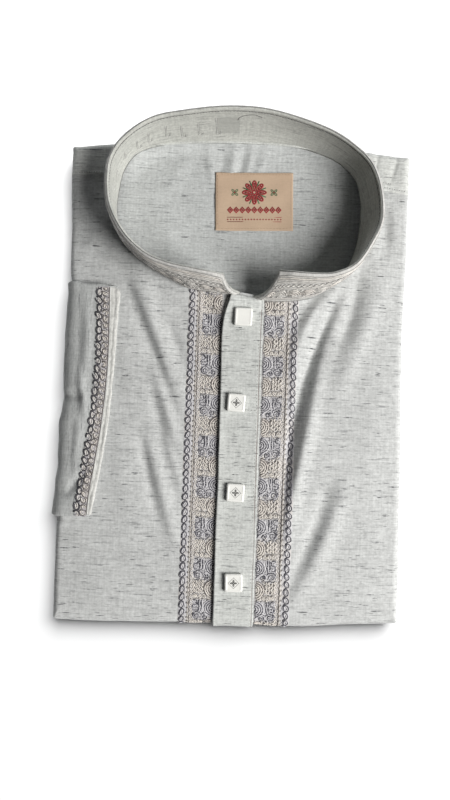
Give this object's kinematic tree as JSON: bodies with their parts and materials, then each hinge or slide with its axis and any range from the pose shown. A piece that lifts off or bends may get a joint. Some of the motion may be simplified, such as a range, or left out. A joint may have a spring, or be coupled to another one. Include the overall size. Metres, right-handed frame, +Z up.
{
  "type": "folded kurta tunic",
  "caption": "Folded kurta tunic lying front up, with a standing band collar, buttoned placket between embroidered borders, and a sleeve brought round one edge.",
  "frame": {"origin": "centre of the object's box, on the surface that the folded garment lies on", "axes": "+Z up out of the front; +Y from the fold at the foot towards the collar; +X towards the wearer's left, which is the side without the sleeve"},
  "size_m": [0.244, 0.3576, 0.054],
  "materials": {
    "cloth": "dry slub linen and cotton, pale grey with dark slubs",
    "layers": "the same slub cloth, folded edges",
    "cloth_inside": "wrong side of the slub cloth",
    "embroidery": "lilac grey embroidery thread with a soft lustre",
    "thread_light": "blush and cream embroidery thread with a soft lustre",
    "facing": "plain pale facing",
    "label": "beige woven satin",
    "button": "white, polished"
  },
  "bodies": {
    "root": {"folded_layers": "layers", "front_panel": "cloth", "back_panel": "cloth_inside", "collar_outer": "embroidery", "collar_inner": "cloth_inside", "placket_upper": "cloth", "placket_under": "cloth", "sleeve": "cloth", "cuff_facing": "facing", "neck_label": "label", "button_1": "button", "button_2": "button", "button_3": "button", "button_4": "button"}
  },
  "joints": []
}
